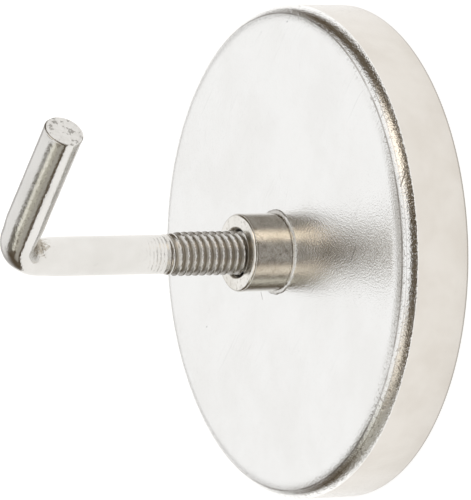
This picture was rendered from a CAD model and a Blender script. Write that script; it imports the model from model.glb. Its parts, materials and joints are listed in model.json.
import json
import math

import bmesh
import bpy
from mathutils import Matrix, Vector, noise


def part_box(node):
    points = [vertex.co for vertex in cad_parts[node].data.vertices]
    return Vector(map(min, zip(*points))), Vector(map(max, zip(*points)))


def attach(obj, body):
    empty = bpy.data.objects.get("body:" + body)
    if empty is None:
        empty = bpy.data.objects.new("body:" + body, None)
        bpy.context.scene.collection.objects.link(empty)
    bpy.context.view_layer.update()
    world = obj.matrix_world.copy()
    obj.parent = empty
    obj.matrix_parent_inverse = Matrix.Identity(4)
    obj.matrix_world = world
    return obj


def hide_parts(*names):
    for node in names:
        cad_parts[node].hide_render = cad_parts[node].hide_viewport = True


# A round cup magnet with a right-angled screw hook, standing on its working face at z = 0.
# Lengths are in metres. The hook points up, and its arm points along +X.

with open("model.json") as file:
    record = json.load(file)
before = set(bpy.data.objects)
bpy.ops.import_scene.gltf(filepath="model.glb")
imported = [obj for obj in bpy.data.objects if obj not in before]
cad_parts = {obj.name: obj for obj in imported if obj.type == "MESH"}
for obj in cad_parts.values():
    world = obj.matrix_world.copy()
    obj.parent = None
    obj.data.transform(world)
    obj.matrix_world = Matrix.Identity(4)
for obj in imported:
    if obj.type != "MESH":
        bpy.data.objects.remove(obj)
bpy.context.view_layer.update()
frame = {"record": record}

MM = 0.001
TURN = 2 * math.pi


# ---------------------------------------------------------------- sizes, from the frame

def corners(node):
    """The lowest and highest corners of a CAD node at rest."""
    low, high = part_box(node)
    return Vector(low), Vector(high)


CUP_HIGH = corners("steel_cup")[1]
BOSS_LOW, BOSS_HIGH = corners("threaded_boss")
BEAD_HIGH = corners("boss_weld_bead")[1]
HOOK_LOW, HOOK_HIGH = corners("screw_hook")
RING_LOW, RING_HIGH = corners("ferrite_ring")
BOND_LOW, BOND_HIGH = corners("adhesive_bond")
OUTER_LOW, OUTER_HIGH = corners("outer_potting")
INNER_LOW, INNER_HIGH = corners("inner_potting")
ARM_MOUNT = {mount["name"]: mount for mount in frame["record"]["mounts"]}["hook_arm"]

CUP_R = CUP_HIGH.x
CUP_TOP = CUP_HIGH.z
RIM_BREAK = 0.3 * MM
# The cup's rounded edge, from the wall up to the face: arcs of (start, end, radius), with the
# angles measured from level. A fine crease runs where the arc that ends at CREASE_ANGLE does.
EDGE_ARCS = ((0, 19, 0.7 * MM), (19, 30, 5.2 * MM), (30, 59, 3.3 * MM), (59, 90, 4.9 * MM))
CREASE_ANGLE = 59
CAVITY_R = OUTER_HIGH.x
CAVITY_TOP = BOND_HIGH.z
SPIGOT_R = 5.3 * MM
BOSS_R = BOSS_HIGH.x
BOSS_TOP = BOSS_HIGH.z
BOSS_END = BOSS_LOW.z
BOSS_EDGE = 0.6 * MM
FLANGE_R = 6.3 * MM
FLANGE_THICKNESS = 0.6 * MM
BORE_R = 4.02 * MM
BORE_GROOVE = 0.5 * MM
MOUTH_R = 4.65 * MM
MOUTH_DEPTH = 0.7 * MM
MOUTH_LIP = 0.12 * MM
# The inner potting is a full plug: a ring whose hole is this small.
PLUG_CORE_R = 0.02 * MM
BEAD_R = BEAD_HIGH.x
BEAD_TOP = BEAD_HIGH.z

PITCH = 25.4 * MM / 18
CREST_R = HOOK_HIGH.y
ROOT_R = CREST_R - 0.76 * MM
ROD_R = ARM_MOUNT["dims"]["r_mm"] * MM
TIP_Z = HOOK_LOW.z
ARM_Z = ARM_MOUNT["pos_m"][2]
ARM_END = HOOK_HIGH.x
BEND_R = 4.9 * MM
BEND_Z = ARM_Z - BEND_R
# The full thread ends FADE_IN below THREAD_TOP and has run out RUN_OUT above it.
THREAD_TOP = CUP_TOP + 21.6 * MM
FADE_IN = 2.2 * MM
RUN_OUT = 2.4 * MM
THREAD_END = THREAD_TOP + RUN_OUT
# How flat a crest and a root are, as a share of half a pitch.
THREAD_FLAT = 0.16
# The bend is squeezed this deep on its inside and outside. At its two ends a share END_CRUSH of
# that is left, which fades out over CRUSH_REACH along the straight rod.
CRUSH_DEPTH = 0.45 * MM
CRUSH_REACH = 4 * MM
END_CRUSH = 0.6
# The rounding of the arm's cut end.
CUT_EDGE = 0.35 * MM
ROWS_PER_PITCH = 20
ROD_SEGMENTS = 128


# ---------------------------------------------------------------- camera

# The cup's axis leans this far from the line of sight, and the arm is turned this far about it.
AXIS_TO_SIGHT = 61.12
SIGHT_TILT = 2.96
SIGHT_ROLL = -0.49
ARM_TURN = 42.23
CAMERA_DISTANCE = 748.5 * MM
LENS_MM = 300.4
SENSOR_MM = 36
# The middle of the cup's upper face, seen from the middle of the view.
FACE_RIGHT = 7.14 * MM
FACE_UP = -0.36 * MM


def sight_axes():
    """The camera's right, up and back directions in the row frame."""
    lean = Matrix.Rotation(-math.radians(AXIS_TO_SIGHT), 3, "Y")
    tilt = Matrix.Rotation(math.radians(SIGHT_TILT), 3, "X")
    roll = Matrix.Rotation(math.radians(SIGHT_ROLL), 3, "Z")
    turn = math.radians(ARM_TURN)
    # Straight down the axis, the arm points ARM_TURN to the right of up.
    start = Matrix((
        (math.sin(turn), -math.cos(turn), 0),
        (math.cos(turn), math.sin(turn), 0),
        (0, 0, 1),
    ))
    view = roll @ tilt @ lean @ start
    return view[0].copy(), view[1].copy(), view[2].copy()


def make_camera():
    """Places the scene's camera and returns the direction back from the object to it."""
    right, up, back = sight_axes()
    data = bpy.data.cameras.new("camera")
    data.lens = LENS_MM
    data.sensor_width = SENSOR_MM
    data.clip_start = 0.01
    data.clip_end = 100
    camera = bpy.data.objects.new("camera", data)
    bpy.context.collection.objects.link(camera)
    face = Vector((0, 0, CUP_TOP))
    place = face - right * FACE_RIGHT - up * FACE_UP + back * CAMERA_DISTANCE
    turned = Matrix((right, up, back)).transposed().to_4x4()
    camera.matrix_world = Matrix.Translation(place) @ turned
    bpy.context.scene.camera = camera
    return back


# ---------------------------------------------------------------- mesh building

def skin(name, rows, closed_loop, sharp_angle=32):
    """A smooth mesh over rows of points, each row a closed ring of the same count.

    The last row joins the first when closed_loop is true; else each end gets a flat cap.
    """
    mesh = bmesh.new()
    rings = [[mesh.verts.new(point) for point in row] for row in rows]
    count = len(rings[0])
    pairs = list(zip(rings, rings[1:]))
    if closed_loop:
        pairs.append((rings[-1], rings[0]))
    for lower, upper in pairs:
        for i in range(count):
            j = (i + 1) % count
            mesh.faces.new((lower[i], lower[j], upper[j], upper[i]))
    if not closed_loop:
        for ring, flip in ((rings[0], True), (rings[-1], False)):
            middle = mesh.verts.new(sum((v.co for v in ring), Vector()) / count)
            for i in range(count):
                j = (i + 1) % count
                side = (ring[j], ring[i], middle) if flip else (ring[i], ring[j], middle)
                mesh.faces.new(side)
    bmesh.ops.recalc_face_normals(mesh, faces=mesh.faces)
    for face in mesh.faces:
        face.smooth = True
    limit = math.radians(sharp_angle)
    for edge in mesh.edges:
        edge.smooth = edge.calc_face_angle(0) < limit
    data = bpy.data.meshes.new(name)
    mesh.to_mesh(data)
    mesh.free()
    piece = bpy.data.objects.new(name, data)
    bpy.context.collection.objects.link(piece)
    return piece


def round_points(r, z, radius, start, end, steps):
    """Points (r, z) of a rounded corner about the centre (r, z), from one angle to another."""
    points = []
    for i in range(steps + 1):
        angle = math.radians(start + (end - start) * i / steps)
        points.append((r + radius * math.cos(angle), z + radius * math.sin(angle)))
    return points


def line_points(start, end, steps):
    """Points (r, z) of a straight line, without its two ends."""
    points = []
    for i in range(1, steps):
        t = i / steps
        points.append((start[0] + (end[0] - start[0]) * t, start[1] + (end[1] - start[1]) * t))
    return points


def turned_point(r, angle, z):
    """The point at this radius, angle and height about the part's axis."""
    return Vector((r * math.cos(angle), r * math.sin(angle), z))


def lathe(name, outline, segments, shape):
    """A turned solid from a closed outline of (r, z) points. shape(r, z, angle) moves each point."""
    rows = []
    for r, z in outline:
        row = []
        for i in range(segments):
            angle = TURN * i / segments
            r_here, z_here = shape(r, z, angle)
            row.append(turned_point(r_here, angle, z_here))
        rows.append(row)
    return skin(name, rows, closed_loop=True)


def unevenness(point, size, height):
    """Smooth, seeded unevenness: lumps about size across and up to height high."""
    return noise.noise(point / size) * height


def smooth_step(low, high, value):
    """0 below low, 1 above high, and a smooth rise between them."""
    t = min(max((value - low) / (high - low), 0), 1)
    return t * t * (3 - 2 * t)


# ---------------------------------------------------------------- pieces

def edge_points():
    """Points (r, z) up the cup's rounded edge, from the wall to the face, and the crease's height."""
    steps = 8
    points = [(0.0, 0.0)]
    crease_z = 0.0
    for start, end, radius in EDGE_ARCS:
        span = math.radians(end - start) / steps
        for i in range(steps):
            angle = math.radians(start) + span * (i + 0.5)
            r, z = points[-1]
            points.append((r - radius * span * math.sin(angle), z + radius * span * math.cos(angle)))
        if end == CREASE_ANGLE:
            crease_z = points[-1][1]
    drop = CUP_TOP - points[-1][1]
    placed = [(CUP_R + r, drop + z) for r, z in points]
    return placed, drop + crease_z


EDGE, CREASE_Z = edge_points()
WALL_TOP = EDGE[0][1]
FACE_R = EDGE[-1][0]
SECOND_LINE_Z = CREASE_Z - 0.52 * MM


def cup_skin():
    """The pressed cup: a flat face, a rounded edge with a fine crease in it, wall and rim."""
    outline = [(SPIGOT_R, CUP_TOP)]
    outline += line_points((SPIGOT_R, CUP_TOP), EDGE[-1], 24)
    outline += reversed(EDGE)
    wall_end = (CUP_R, RIM_BREAK)
    outline += line_points(EDGE[0], wall_end, 12) + [wall_end]
    outline += round_points(CUP_R - RIM_BREAK, RIM_BREAK, RIM_BREAK, 0, -90, 4)[1:]
    outline += round_points(CAVITY_R + RIM_BREAK, RIM_BREAK, RIM_BREAK, -90, -180, 4)
    outline += [(CAVITY_R, CAVITY_TOP - MM), (CAVITY_R - MM, CAVITY_TOP), (SPIGOT_R, CAVITY_TOP)]

    def shape(r, z, angle):
        place = turned_point(r, angle, z)
        if r > FACE_R and z > RIM_BREAK:
            r = r - abs(unevenness(place, 9 * MM, 0.02 * MM))
        if z > CUP_TOP - 0.5 * MM:
            z = z - abs(unevenness(place, 14 * MM, 0.012 * MM))
        return r, z

    return lathe("cup_skin", outline, 512, shape)


def boss_skin():
    """The turned bush, with its inside thread, staked spigot and broken outer edge."""
    bore_rows = 150
    bore_length = BOSS_TOP - MOUTH_DEPTH - BOSS_END
    outline = [(BORE_R, BOSS_END + i * bore_length / bore_rows) for i in range(bore_rows + 1)]
    outline += line_points(outline[-1], (MOUTH_R, BOSS_TOP), 10)
    outline += round_points(MOUTH_R + MOUTH_LIP, BOSS_TOP - MOUTH_LIP, MOUTH_LIP, 180, 90, 4)
    outline += line_points(outline[-1], (BOSS_R - BOSS_EDGE, BOSS_TOP), 6)
    outline += round_points(BOSS_R - BOSS_EDGE, BOSS_TOP - BOSS_EDGE, BOSS_EDGE, 90, 0, 8)
    outline += line_points((BOSS_R, BOSS_TOP - BOSS_EDGE), (BOSS_R, CUP_TOP), 14)
    outline += [(BOSS_R, CUP_TOP), (SPIGOT_R, CUP_TOP), (SPIGOT_R, CAVITY_TOP), (FLANGE_R, CAVITY_TOP)]
    outline += [(FLANGE_R, CAVITY_TOP - FLANGE_THICKNESS), (FLANGE_R - FLANGE_THICKNESS, BOSS_END)]

    def shape(r, z, angle):
        if r < MOUTH_R:
            groove = BORE_GROOVE * (1 - thread_height(z, angle + math.pi))
            return max(r, BORE_R + groove), z
        if r > BOSS_R - BOSS_EDGE and z > CUP_TOP + 0.1 * MM:
            place = turned_point(r, angle, z * 0.6)
            r = r - abs(unevenness(place, 2.2 * MM, 0.02 * MM))
        return r, z

    return lathe("boss_skin", outline, 160, shape)


def weld_bead():
    """A thin, slightly lumpy bead around the boss."""
    width = BEAD_R - BOSS_R
    height = 0.6 * (BEAD_TOP - CUP_TOP)
    bottom = CUP_TOP - 0.02 * MM
    steps = 12
    outline = [(BOSS_R - 0.05 * MM, bottom)]
    for i in range(steps + 1):
        angle = math.pi / 2 * (1 - i / steps)
        outline.append((BOSS_R + width * math.cos(angle), CUP_TOP + height * math.sin(angle)))
    outline.append((BOSS_R + width * 0.98, bottom))

    def shape(r, z, angle):
        place = turned_point(r, angle, z)
        lump = abs(unevenness(place, 1.3 * MM, 0.16 * MM)) + abs(unevenness(place, 5 * MM, 0.1 * MM))
        share = (r - BOSS_R) / width
        return r - lump * max(share, 0), z - lump * 0.5 * (z > CUP_TOP)

    return lathe("weld_bead_skin", outline, 256, shape)


def thread_height(z, angle):
    """How high the screw thread stands here, from 0 in a root to 1 on a crest."""
    phase = ((z - TIP_Z) / PITCH - angle / TURN) % 1
    from_crest = abs(phase - 0.5) * 2
    flank = (1 - from_crest - THREAD_FLAT) / (1 - 2 * THREAD_FLAT)
    height = min(max(flank, 0), 1)
    seam = 0.07 * math.exp(-(from_crest / 0.05) ** 2)
    return height - seam


def shank_radius(z, angle):
    """The hook's radius on its shank: a chamfered tip, a rolled thread that runs out, plain rod."""
    thread = ROOT_R + (CREST_R - ROOT_R) * thread_height(z, angle)
    fade = smooth_step(THREAD_TOP - FADE_IN, THREAD_END, z + 0.5 * MM * math.sin(angle))
    radius = thread + (ROD_R - thread) * fade
    place = turned_point(radius, angle, z)
    rough = unevenness(place, 0.9 * MM, 0.035 * MM) + unevenness(place, 0.35 * MM, 0.02 * MM)
    rolled = min(radius, CREST_R) - abs(rough) * (1 - fade)
    chamfer = ROOT_R - 0.15 * MM + (z - TIP_Z)
    return min(rolled, chamfer)


def rod_radius(place, angle, crush):
    """The plain rod's radius, a little uneven, and squeezed at the inside and outside of the bend."""
    long_wave = Vector((place.x, place.y + angle * ROD_R, place.z))
    uneven = abs(unevenness(long_wave, 5 * MM, 0.02 * MM))
    inside = smooth_step(0.2, 1.0, math.cos(angle)) * crush
    wrinkle = unevenness(long_wave, 1.1 * MM, 0.06 * MM) * inside - CRUSH_DEPTH * inside
    outside = smooth_step(0.2, 1.0, -math.cos(angle)) * crush
    return ROD_R - uneven - abs(wrinkle) - CRUSH_DEPTH * outside


def rod_row(centre, inward, radius_at):
    """A ring of points about centre, each radius_at(angle) away. Angle 0 is towards inward."""
    row = []
    for i in range(ROD_SEGMENTS):
        angle = TURN * i / ROD_SEGMENTS
        out = inward * math.cos(angle) + Vector((0, 1, 0)) * math.sin(angle)
        row.append(centre + out * radius_at(angle))
    return row


def plain_row(centre, inward, crush, shrink=0.0):
    """A ring of points on the plain rod, made smaller by shrink."""
    return rod_row(centre, inward, lambda angle: rod_radius(centre, angle, crush) - shrink)


def hook_skin():
    """One rod: threaded shank, plain shank, tight bend and straight arm with a cut end."""
    along_arm = Vector((1, 0, 0))
    down = Vector((0, 0, -1))
    rows = []
    thread_rows = int((THREAD_END - TIP_Z) / (PITCH / ROWS_PER_PITCH))
    for i in range(thread_rows + 1):
        z = TIP_Z + (THREAD_END - TIP_Z) * i / thread_rows
        rows.append(rod_row(Vector((0, 0, z)), along_arm, lambda angle, z=z: shank_radius(z, angle)))
    plain_rows = 26
    for i in range(1, plain_rows + 1):
        z = THREAD_END + (BEND_Z - THREAD_END) * i / plain_rows
        crush = smooth_step(BEND_Z - CRUSH_REACH, BEND_Z, z) * END_CRUSH
        rows.append(plain_row(Vector((0, 0, z)), along_arm, crush))
    bend_rows = 36
    for i in range(1, bend_rows + 1):
        angle = math.pi / 2 * i / bend_rows
        inward = Vector((math.cos(angle), 0, -math.sin(angle)))
        centre = Vector((BEND_R, 0, BEND_Z)) - inward * BEND_R
        crush = END_CRUSH + (1 - END_CRUSH) * math.sin(2 * angle)
        rows.append(plain_row(centre, inward, crush))
    arm_rows = 26
    for i in range(1, arm_rows + 1):
        x = BEND_R + (ARM_END - CUT_EDGE - BEND_R) * i / arm_rows
        crush = (1 - smooth_step(BEND_R, BEND_R + CRUSH_REACH, x)) * END_CRUSH
        rows.append(plain_row(Vector((x, 0, ARM_Z)), down, crush))
    edge_rows = 6
    for i in range(1, edge_rows + 1):
        angle = math.pi / 2 * i / edge_rows
        centre = Vector((ARM_END - CUT_EDGE + CUT_EDGE * math.sin(angle), 0, ARM_Z))
        rows.append(plain_row(centre, down, 0, CUT_EDGE * (1 - math.cos(angle))))
    # The cut end is torn: shallow hollows, never past the arm's end.
    face_rows = 12
    for i in range(1, face_rows):
        reach = (ROD_R - CUT_EDGE) * (1 - i / face_rows)
        row = rod_row(Vector((ARM_END, 0, ARM_Z)), down, lambda angle, reach=reach: reach)
        for place in row:
            pit = abs(unevenness(place, 1.0 * MM, 0.1 * MM)) + abs(unevenness(place, 2.6 * MM, 0.08 * MM))
            place.x -= pit
        rows.append(row)
    return skin("hook_skin", rows, closed_loop=False, sharp_angle=50)


def ring_magnet():
    """The ferrite ring, with ground faces and broken, slightly chipped edges."""
    edge = 0.5 * MM
    inner, outer = INNER_HIGH.x, RING_HIGH.x
    low, high = RING_LOW.z, RING_HIGH.z
    outline = [(inner, high), (inner, low + edge), (inner + edge, low)]
    outline += line_points((inner + edge, low), (outer - edge, low), 16)
    outline += [(outer - edge, low), (outer, low + edge), (outer, high)]

    def shape(r, z, angle):
        place = turned_point(r, angle, z)
        on_edge = abs(z - low) < 1e-6 and (r > outer - 1.1 * edge or r < inner + 1.1 * edge)
        chip = max(unevenness(place, 2.5 * MM, 0.5 * MM), 0) if on_edge else 0
        toward_middle = -1 if r > (inner + outer) / 2 else 1
        return r + toward_middle * chip, z

    return lathe("ferrite_ring_skin", outline, 384, shape)


def resin_ring(name, inner, outer, low, high):
    """A ring of poured resin, with a dished, slightly wavy lower surface."""
    dish = 0.12 * MM
    outline = [(inner, high), (inner, low)]
    outline += line_points((inner, low), (outer, low), 10)
    outline += [(outer, low), (outer, high)]

    def shape(r, z, angle):
        if z > low + 1e-6:
            return r, z
        share = (r - inner) / (outer - inner)
        place = turned_point(r, angle, z)
        sag = dish * 4 * share * (1 - share)
        return r, z + sag + abs(unevenness(place, 3 * MM, 0.08 * MM))

    return lathe(name, outline, 384, shape)


# ---------------------------------------------------------------- materials

SCRATCH_TURN = 12
DIRT = (0.20, 0.17, 0.14)
STAIN = (0.38, 0.34, 0.28)
BARE_STEEL = (0.10, 0.085, 0.07)
# The middle of the squeezed patch inside the bend, and the patch's full and outermost radius.
SQUEEZED = (3.4 * MM, 0, ARM_Z - 3.4 * MM)
SQUEEZED_R = (1.4 * MM, 3.0 * MM)


class Nodes:
    """A small helper that adds and links shader nodes in one material or world."""

    def __init__(self, tree):
        self.tree = tree

    def add(self, kind, **inputs):
        node = self.tree.nodes.new(kind)
        for key, value in inputs.items():
            self.fill(node.inputs[key], value)
        return node

    def fill(self, socket, value):
        """Links another node's output to a socket, or sets the socket to a plain value."""
        if isinstance(value, bpy.types.NodeSocket):
            self.tree.links.new(value, socket)
        else:
            socket.default_value = value

    def math(self, operation, *values):
        node = self.tree.nodes.new("ShaderNodeMath")
        node.operation = operation
        for socket, value in zip(node.inputs, values):
            self.fill(socket, value)
        return node.outputs[0]

    def vector_math(self, operation, *values):
        """The node itself: its Vector or Value output holds the result."""
        node = self.tree.nodes.new("ShaderNodeVectorMath")
        node.operation = operation
        for socket, value in zip(node.inputs, values):
            self.fill(socket, value)
        return node

    def ramp(self, value, low, high, out_low=0.0, out_high=1.0):
        """A smooth change from out_low to out_high as value goes from low to high."""
        node = self.tree.nodes.new("ShaderNodeMapRange")
        node.interpolation_type = "SMOOTHSTEP"
        limits = {"From Min": low, "From Max": high, "To Min": out_low, "To Max": out_high}
        for key, amount in limits.items():
            node.inputs[key].default_value = amount
        self.tree.links.new(value, node.inputs["Value"])
        return node.outputs["Result"]

    def mix(self, share, first, second):
        """The first colour, with this share of the second over it. Plain colours are (r, g, b)."""
        node = self.tree.nodes.new("ShaderNodeMix")
        node.data_type = "RGBA"
        self.fill(node.inputs[0], share)
        for socket, colour in ((node.inputs[6], first), (node.inputs[7], second)):
            self.fill(socket, (*colour, 1) if isinstance(colour, tuple) else colour)
        return node.outputs[2]

    def noise(self, vector, scale, detail=2.0, roughness=0.5):
        node = self.add("ShaderNodeTexNoise", Vector=vector, Scale=scale, Detail=detail,
                        Roughness=roughness)
        return node.outputs["Fac"]

    def bump(self, height, strength, distance, normal=None):
        node = self.add("ShaderNodeBump", Height=height, Strength=strength, Distance=distance)
        if normal is not None:
            self.tree.links.new(normal, node.inputs["Normal"])
        return node.outputs["Normal"]


def new_material(name):
    """A material, a helper for its nodes, its Principled shader and its object coordinates."""
    material = bpy.data.materials.new(name)
    material.use_nodes = True
    tree = material.node_tree
    shader = tree.nodes["Principled BSDF"]
    nodes = Nodes(tree)
    place = nodes.add("ShaderNodeTexCoord").outputs["Object"]
    return material, nodes, shader, place


def stretched(nodes, place, turn, scale):
    """Object coordinates turned about Z and scaled, for fine lines that run one way."""
    node = nodes.tree.nodes.new("ShaderNodeMapping")
    nodes.tree.links.new(place, node.inputs["Vector"])
    node.inputs["Rotation"].default_value = (0, 0, math.radians(turn))
    node.inputs["Scale"].default_value = scale
    return node.outputs["Vector"]


def scratches(nodes, place, turn):
    """A mask of sparse hair-fine scratches, turned this many degrees about Z."""
    fine = nodes.ramp(nodes.noise(stretched(nodes, place, turn, (60, 2600, 900)), 1.0, 1.0), 0.66, 0.71)
    regions = stretched(nodes, place, turn, (90, 130, 90))
    patch = nodes.ramp(nodes.noise(regions, 1.0, 0.0), 0.52, 0.62)
    return nodes.math("MULTIPLY", fine, patch)


def pits(nodes, place, cell, radius, share):
    """A mask of small round pits: one per cell of this size, in a share of the cells."""
    voronoi = nodes.add("ShaderNodeTexVoronoi", Vector=place, Scale=1 / cell, Randomness=1.0)
    near = nodes.ramp(voronoi.outputs["Distance"], radius * 0.5, radius, 1.0, 0.0)
    split = nodes.add("ShaderNodeSeparateColor", Color=voronoi.outputs["Color"])
    chosen = nodes.math("LESS_THAN", split.outputs["Red"], share)
    return nodes.math("MULTIPLY", near, chosen)


def mark(nodes, place, start, end, width):
    """A mask of one fine line on the cup's face, from start to end (x, y)."""
    start, end = Vector((*start, 0)), Vector((*end, 0))
    along = (end - start).normalized()
    across = Vector((-along.y, along.x, 0))
    offset = nodes.vector_math("SUBTRACT", place, start).outputs["Vector"]
    run = nodes.vector_math("DOT_PRODUCT", offset, along).outputs["Value"]
    side = nodes.math("ABSOLUTE", nodes.vector_math("DOT_PRODUCT", offset, across).outputs["Value"])
    length = (end - start).length
    begun = nodes.ramp(run, -width, width)
    ended = nodes.ramp(run, length - width, length, 1, 0)
    narrow = nodes.ramp(side, width * 0.4, width, 1.0, 0.0)
    return nodes.math("MULTIPLY", nodes.math("MULTIPLY", begun, ended), narrow)


def nickel(name, bright, shade, roughness, grain, relief, pit_share=0.12, grain_scale=3400):
    """Bright nickel plate over pressed steel: cloudy tint, fine grain, hairlines and pits.

    grain is how strongly the grain shows, relief its height and grain_scale how many to the metre.
    """
    material, nodes, shader, place = new_material(name)
    shader.inputs["Metallic"].default_value = 1.0
    cloud = nodes.ramp(nodes.noise(place, 70, 3.0, 0.6), 0.35, 0.7)
    colour = nodes.mix(cloud, bright, shade)
    lines = scratches(nodes, place, SCRATCH_TURN)
    holes = pits(nodes, place, 3.6 * MM, 0.06, pit_share)
    marked = nodes.math("MAXIMUM", nodes.math("MULTIPLY", lines, 0.05),
                        nodes.math("MULTIPLY", holes, 0.65))
    colour = nodes.mix(marked, colour, tuple(0.35 * c for c in shade))
    fine = nodes.noise(place, grain_scale, 2.0, 0.6)
    rough = nodes.math("ADD", nodes.ramp(fine, 0.3, 0.7, roughness * 0.8, roughness * 1.25),
                       nodes.math("MULTIPLY", marked, 0.2))
    nodes.tree.links.new(colour, shader.inputs["Base Color"])
    nodes.tree.links.new(rough, shader.inputs["Roughness"])
    normal = nodes.bump(nodes.noise(place, 420, 2.0), grain * 0.5, 0.02 * MM)
    normal = nodes.bump(fine, grain, relief, normal)
    normal = nodes.bump(nodes.math("MULTIPLY", marked, -1.0), 0.5, 0.02 * MM, normal)
    nodes.tree.links.new(normal, shader.inputs["Normal"])
    return material, nodes, shader, place, colour, rough, normal


def cup_material():
    """The cup's plate: clear on the face, duller on the wall, with a few marks of its own."""
    material, nodes, shader, place, colour, *_ = nickel(
        "nickel_cup", (0.90, 0.90, 0.895), (0.865, 0.862, 0.852), 0.10, 1.0, 0.066 * MM,
        grain_scale=2900)
    split = nodes.add("ShaderNodeSeparateXYZ", Vector=place)
    height = split.outputs["Z"]
    wall = nodes.ramp(height, WALL_TOP - 0.1 * MM, WALL_TOP + 0.3 * MM, 1.0, 0.0)
    streaks = nodes.ramp(nodes.noise(place, 120, 3.0, 0.6), 0.3, 0.7)
    wall_colour = nodes.mix(streaks, (0.70, 0.67, 0.63), (0.655, 0.62, 0.575))
    colour = nodes.mix(wall, colour, wall_colour)
    open_edge = nodes.ramp(height, 0.15 * MM, 0.5 * MM, 0.75, 0.0)
    # The crease in the edge, and a fainter line below it.
    crease_off = nodes.math("ABSOLUTE", nodes.math("SUBTRACT", height, CREASE_Z))
    patchy = nodes.ramp(nodes.noise(place, 160, 2.0), 0.3, 0.6, 0.35, 1.0)
    crease = nodes.math("MULTIPLY", nodes.ramp(crease_off, 0.03 * MM, 0.11 * MM, 1.0, 0.0), patchy)
    second_off = nodes.math("ABSOLUTE", nodes.math("SUBTRACT", height, SECOND_LINE_Z))
    second = nodes.ramp(second_off, 0.02 * MM, 0.08 * MM, 0.5, 0.0)
    lines = nodes.math("MULTIPLY", nodes.math("MAXIMUM", crease, second), 0.7)
    # A hair beside the boss, a curl farther out and a nick near the edge.
    hair = mark(nodes, place, (-9.0 * MM, -1.2 * MM), (-9.6 * MM, -2.6 * MM), 0.09 * MM)
    curl = mark(nodes, place, (21.2 * MM, -19.3 * MM), (17.5 * MM, -20.0 * MM), 0.1 * MM)
    nick = mark(nodes, place, (39.2 * MM, -20.2 * MM), (37.5 * MM, -21.8 * MM), 0.12 * MM)
    marks = nodes.math("MAXIMUM", nodes.math("MAXIMUM", hair, nick), curl)
    # Specks all over the rounded edge.
    above_wall = nodes.ramp(height, WALL_TOP, WALL_TOP + 0.4 * MM)
    below_face = nodes.ramp(height, CUP_TOP - 0.6 * MM, CUP_TOP - 0.1 * MM, 1.0, 0.0)
    specks = nodes.ramp(nodes.noise(place, 1900, 2.0, 0.6), 0.56, 0.68, 0.0, 0.5)
    specks = nodes.math("MULTIPLY", nodes.math("MULTIPLY", above_wall, below_face), specks)
    dirt = nodes.math("MAXIMUM", nodes.math("MAXIMUM", lines, specks), open_edge)
    dirt = nodes.math("MAXIMUM", dirt, nodes.math("MULTIPLY", marks, 0.8))
    colour = nodes.mix(dirt, colour, DIRT)
    nodes.tree.links.new(colour, shader.inputs["Base Color"])
    return material


def boss_material():
    """The bush's plate, worn and cloudy, and bare dark steel inside its mouth and bore."""
    material, nodes, shader, place, colour, rough, _ = nickel(
        "nickel_boss", (0.83, 0.81, 0.77), (0.66, 0.63, 0.57), 0.10, 0.8, 0.02 * MM, pit_share=0.3)
    split = nodes.add("ShaderNodeSeparateXYZ", Vector=place)
    flat = nodes.add("ShaderNodeCombineXYZ", X=split.outputs["X"], Y=split.outputs["Y"])
    radius = nodes.vector_math("LENGTH", flat.outputs["Vector"]).outputs["Value"]
    bare = nodes.ramp(radius, BORE_R + 0.2 * MM, BORE_R + 0.45 * MM, 1.0, 0.0)
    colour = nodes.mix(bare, colour, BARE_STEEL)
    speckle = nodes.ramp(nodes.noise(place, 1100, 3.0, 0.7), 0.5, 0.72)
    colour = nodes.mix(nodes.math("MULTIPLY", speckle, 0.5), colour, (0.42, 0.38, 0.32))
    rough = nodes.math("ADD", rough, nodes.math("MULTIPLY", bare, 0.3))
    nodes.tree.links.new(colour, shader.inputs["Base Color"])
    nodes.tree.links.new(rough, shader.inputs["Roughness"])
    return material


def bead_material():
    """The bead's plate, rougher and greyer than the cup's."""
    material, *_ = nickel("nickel_bead", (0.80, 0.79, 0.77), (0.50, 0.48, 0.45), 0.26, 1.0, 0.03 * MM)
    return material


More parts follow.
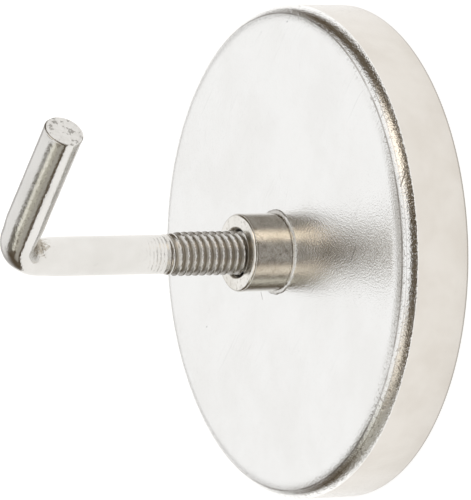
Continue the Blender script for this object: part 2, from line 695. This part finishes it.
def hook_material():
    """Plated rod: smooth on the plain rod, rough and darker in the thread and the bend's inside."""
    material, nodes, shader, place, colour, rough, normal = nickel(
        "nickel_hook", (0.735, 0.724, 0.705), (0.665, 0.652, 0.628), 0.11, 0.6, 0.02 * MM, pit_share=0.08)
    split = nodes.add("ShaderNodeSeparateXYZ", Vector=place)
    height = split.outputs["Z"]
    threaded = nodes.ramp(height, THREAD_TOP, THREAD_TOP + RUN_OUT, 1.0, 0.0)
    flat = nodes.add("ShaderNodeCombineXYZ", X=split.outputs["X"], Y=split.outputs["Y"])
    radius = nodes.vector_math("LENGTH", flat.outputs["Vector"]).outputs["Value"]
    depth = nodes.ramp(radius, ROOT_R, CREST_R - 0.1 * MM, 1.0, 0.0)
    grit = nodes.noise(place, 1500, 3.0, 0.65)
    dull = nodes.ramp(nodes.noise(place, 700, 3.0, 0.7), 0.4, 0.7, 0.0, 0.25)
    in_roots = nodes.math("MAXIMUM", nodes.math("MULTIPLY", depth, 0.9), dull)
    stain = nodes.math("MULTIPLY", threaded, in_roots)
    # The bend's inside, where the rod was crushed and its plate is thin.
    from_inside = nodes.vector_math("DISTANCE", place, SQUEEZED).outputs["Value"]
    ragged = nodes.math("ADD", from_inside, nodes.ramp(grit, 0.3, 0.7, -0.9 * MM, 0.9 * MM))
    crushed = nodes.ramp(ragged, *SQUEEZED_R, 1.0, 0.0)
    stain = nodes.math("MAXIMUM", stain, nodes.math("MULTIPLY", crushed, 0.85))
    near_thread = nodes.ramp(height, THREAD_TOP + RUN_OUT, THREAD_TOP + 4 * RUN_OUT, 1.0, 0.0)
    colour = nodes.mix(stain, colour, STAIN)
    cut_end = nodes.ramp(split.outputs["X"], ARM_END - 0.3 * MM, ARM_END - 0.1 * MM)
    colour = nodes.mix(cut_end, colour, nodes.mix(dull, (0.70, 0.69, 0.67), (0.50, 0.48, 0.45)))
    holes = nodes.ramp(nodes.noise(place, 800, 3.0, 0.6), 0.57, 0.63, 0.0, 0.7)
    colour = nodes.mix(nodes.math("MULTIPLY", cut_end, holes), colour, (0.20, 0.19, 0.17))
    rough = nodes.math("ADD", rough, nodes.math("MULTIPLY", stain, 0.25))
    rough = nodes.math("ADD", rough, nodes.math("MULTIPLY", near_thread, 0.06))
    rough = nodes.math("ADD", rough, nodes.math("MULTIPLY", cut_end, 0.2))
    normal = nodes.bump(grit, 0.5, 0.05 * MM, normal)
    # The rolling die leaves ever fainter rings past the thread's end.
    rings = nodes.math("SINE", nodes.math("MULTIPLY", height, 2 * TURN / PITCH))
    uneven = nodes.math("MULTIPLY", near_thread, nodes.ramp(grit, 0.3, 0.7, 0.5, 1.0))
    rings = nodes.math("MULTIPLY", rings, uneven)
    normal = nodes.bump(rings, 0.25, 0.04 * MM, normal)
    wavy = nodes.noise(place, 420, 4.0, 0.65)
    normal = nodes.bump(wavy, 0.7, 0.09 * MM, normal)
    nodes.tree.links.new(colour, shader.inputs["Base Color"])
    nodes.tree.links.new(rough, shader.inputs["Roughness"])
    nodes.tree.links.new(normal, shader.inputs["Normal"])
    return material


def ferrite_material():
    """Ground ferrite: near-black grey with faint grinding lines and tiny pores."""
    material, nodes, shader, place = new_material("ferrite")
    lines = nodes.noise(stretched(nodes, place, 20, (120, 3000, 900)), 1.0, 2.0)
    cloud = nodes.noise(place, 90, 3.0, 0.6)
    colour = nodes.mix(nodes.ramp(cloud, 0.3, 0.7), (0.035, 0.035, 0.04), (0.065, 0.065, 0.07))
    holes = pits(nodes, place, 1.4 * MM, 0.1, 0.5)
    colour = nodes.mix(holes, colour, (0.01, 0.01, 0.012))
    nodes.tree.links.new(colour, shader.inputs["Base Color"])
    nodes.tree.links.new(nodes.ramp(lines, 0.3, 0.7, 0.38, 0.55), shader.inputs["Roughness"])
    height = nodes.math("SUBTRACT", nodes.math("MULTIPLY", lines, 0.5), holes)
    nodes.tree.links.new(nodes.bump(height, 0.5, 0.03 * MM), shader.inputs["Normal"])
    return material


def resin_material(name, dark, light, roughness):
    """Poured resin: slightly cloudy, with a few small bubbles at the surface."""
    material, nodes, shader, place = new_material(name)
    cloud = nodes.noise(place, 260, 3.0, 0.6)
    bubbles = pits(nodes, place, 1.1 * MM, 0.16, 0.3)
    colour = nodes.mix(nodes.ramp(cloud, 0.3, 0.7), dark, light)
    colour = nodes.mix(bubbles, colour, tuple(0.5 * c for c in dark))
    nodes.tree.links.new(colour, shader.inputs["Base Color"])
    rough = nodes.ramp(cloud, 0.3, 0.7, roughness, roughness * 1.5)
    nodes.tree.links.new(rough, shader.inputs["Roughness"])
    height = nodes.math("SUBTRACT", cloud, bubbles)
    nodes.tree.links.new(nodes.bump(height, 0.5, 0.05 * MM), shader.inputs["Normal"])
    return material


# ---------------------------------------------------------------- studio

# The white sky with a dim room low in it, seen only as reflections. Each patch of the room has its
# middle's turn from the camera's side and half its width, its lowest and highest heights (all in
# degrees), how softly its sides and its ends fade, and its colour. Later ones cover earlier ones.
ROOM = (1.0, 0.995, 0.985)
DIM = (0.115, 0.090, 0.062)
CARDS = (
    # The far wall behind the object, the dim room everywhere else, and two taller parts of it.
    (180, 60, -20, 12, 14, 6, (0.55, 0.54, 0.53)),
    (0, 146, -20, 34, 14, 3, DIM),
    (-80, 50, 25, 43, 12, 4, DIM),
    (-122, 14, 33, 52, 6, 4, (0.20, 0.185, 0.155)),
    # A pale low wall, and two warm windows.
    (-88, 22, 3, 20, 8, 3, (0.46, 0.44, 0.39)),
    (51, 15, 20, 52, 12, 5, (1.55, 1.38, 1.16)),
    (-55, 15, 20, 52, 12, 5, (0.98, 0.89, 0.76)),
    # A doorway, its narrow foot and its bright upper part.
    (-98, 12, 30, 46, 4, 2, (0.66, 0.64, 0.55)),
    (-91, 5, 19, 32, 3, 3, (0.66, 0.64, 0.55)),
    (-100, 8, 35, 45, 4, 3, (1.05, 1.03, 0.92)),
)
# A duller patch of the sky, this far past overhead, and the angles across which it fades.
OVERHEAD_TILT = 5
OVERHEAD_FADE = (10, 26)
OVERHEAD = (0.50, 0.48, 0.45)
BACKDROP = (1.1, 1.1, 1.1)
TABLE_R = 370 * MM


def fade_out(nodes, angle, limit, fade):
    """1 below the limit and 0 above it, fading across this many degrees to each side."""
    return nodes.ramp(angle, math.radians(limit - fade), math.radians(limit + fade), 1.0, 0.0)


def make_world(back):
    """The sky and its patches, turned to suit the camera. The camera itself sees only white."""
    world = bpy.data.worlds.new("studio")
    bpy.context.scene.world = world
    world.use_nodes = True
    nodes = Nodes(world.node_tree)
    towards = nodes.add("ShaderNodeTexCoord").outputs["Generated"]
    level = Vector((back.x, back.y, 0)).normalized()
    aside = Vector((-level.y, level.x, 0))
    ahead_part = nodes.vector_math("DOT_PRODUCT", towards, level).outputs["Value"]
    aside_part = nodes.vector_math("DOT_PRODUCT", towards, aside).outputs["Value"]
    turn = nodes.math("ARCTAN2", aside_part, ahead_part)
    rise = nodes.math("ARCSINE", nodes.add("ShaderNodeSeparateXYZ", Vector=towards).outputs["Z"])
    colour = ROOM
    for middle, half, low, high, side_fade, end_fade, card in CARDS:
        off = nodes.math("SUBTRACT", turn, math.radians(middle))
        off = nodes.math("ABSOLUTE", nodes.math("WRAP", off, math.pi, -math.pi))
        sides = fade_out(nodes, off, half, side_fade)
        bottom = nodes.ramp(rise, math.radians(low - end_fade), math.radians(low + end_fade))
        top = fade_out(nodes, rise, high, end_fade)
        share = nodes.math("MULTIPLY", sides, nodes.math("MULTIPLY", bottom, top))
        colour = nodes.mix(share, colour, card)
    tilt = math.radians(OVERHEAD_TILT)
    overhead = Vector((0, 0, math.cos(tilt))) - level * math.sin(tilt)
    near = nodes.vector_math("DOT_PRODUCT", towards, overhead).outputs["Value"]
    full, gone = (math.cos(math.radians(angle)) for angle in OVERHEAD_FADE)
    colour = nodes.mix(nodes.ramp(near, gone, full), colour, OVERHEAD)
    background = world.node_tree.nodes["Background"]
    seen = nodes.add("ShaderNodeLightPath").outputs["Is Camera Ray"]
    colour = nodes.mix(seen, colour, BACKDROP)
    world.node_tree.links.new(colour, background.inputs["Color"])
    background.inputs["Strength"].default_value = 1.0


def make_floor():
    """A round, plain white table top that glows a little, so that shadows on it stay faint."""
    mesh = bmesh.new()
    bmesh.ops.create_circle(mesh, cap_ends=True, segments=96, radius=TABLE_R)
    data = bpy.data.meshes.new("floor")
    mesh.to_mesh(data)
    mesh.free()
    floor = bpy.data.objects.new("floor", data)
    bpy.context.collection.objects.link(floor)
    material, nodes, shader, place = new_material("white_table")
    tone = nodes.mix(nodes.noise(place, 3.0), (0.30, 0.30, 0.30), (0.32, 0.32, 0.315))
    nodes.tree.links.new(tone, shader.inputs["Base Color"])
    shader.inputs["Roughness"].default_value = 0.9
    shader.inputs["Specular IOR Level"].default_value = 0.0
    shader.inputs["Emission Color"].default_value = (1, 0.995, 0.985, 1)
    shader.inputs["Emission Strength"].default_value = 0.86
    data.materials.append(material)


def soft_light(name, place, size, watts):
    """A round lamp aimed at the middle of the working face, and not seen in reflections."""
    data = bpy.data.lights.new(name, "AREA")
    data.shape = "DISK"
    data.size = size
    data.energy = watts
    light = bpy.data.objects.new(name, data)
    bpy.context.collection.objects.link(light)
    light.location = place
    light.visible_glossy = False
    light.rotation_mode = "QUATERNION"
    light.rotation_quaternion = (-Vector(place)).to_track_quat("-Z", "Y")


# ---------------------------------------------------------------- putting it together

def dress(piece, material, node, body):
    """Gives a piece its material and body, in place of the CAD node that it stands for."""
    piece.data.materials.append(material)
    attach(piece, body)
    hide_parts(node)


make_world(make_camera())
make_floor()
soft_light("overhead", place=(0.1, 0.3, 1.6), size=1.2, watts=6)

dress(cup_skin(), cup_material(), "steel_cup", "magnet")
dress(boss_skin(), boss_material(), "threaded_boss", "magnet")
dress(weld_bead(), bead_material(), "boss_weld_bead", "magnet")
dress(hook_skin(), hook_material(), "screw_hook", "hook")
dress(ring_magnet(), ferrite_material(), "ferrite_ring", "magnet")
glue = resin_material("adhesive", (0.52, 0.45, 0.30), (0.62, 0.56, 0.40), 0.35)
bond = resin_ring("adhesive_skin", INNER_HIGH.x, BOND_HIGH.x, BOND_LOW.z, BOND_HIGH.z)
dress(bond, glue, "adhesive_bond", "magnet")
resin = resin_material("potting_resin", (0.012, 0.012, 0.014), (0.03, 0.03, 0.032), 0.22)
outer = resin_ring("outer_potting_skin", BOND_HIGH.x, OUTER_HIGH.x, OUTER_LOW.z, OUTER_HIGH.z)
dress(outer, resin, "outer_potting", "magnet")
inner = resin_ring("inner_potting_skin", PLUG_CORE_R, INNER_HIGH.x, INNER_LOW.z, INNER_HIGH.z)
dress(inner, resin, "inner_potting", "magnet")

bpy.context.scene.view_settings.view_transform = "Standard"
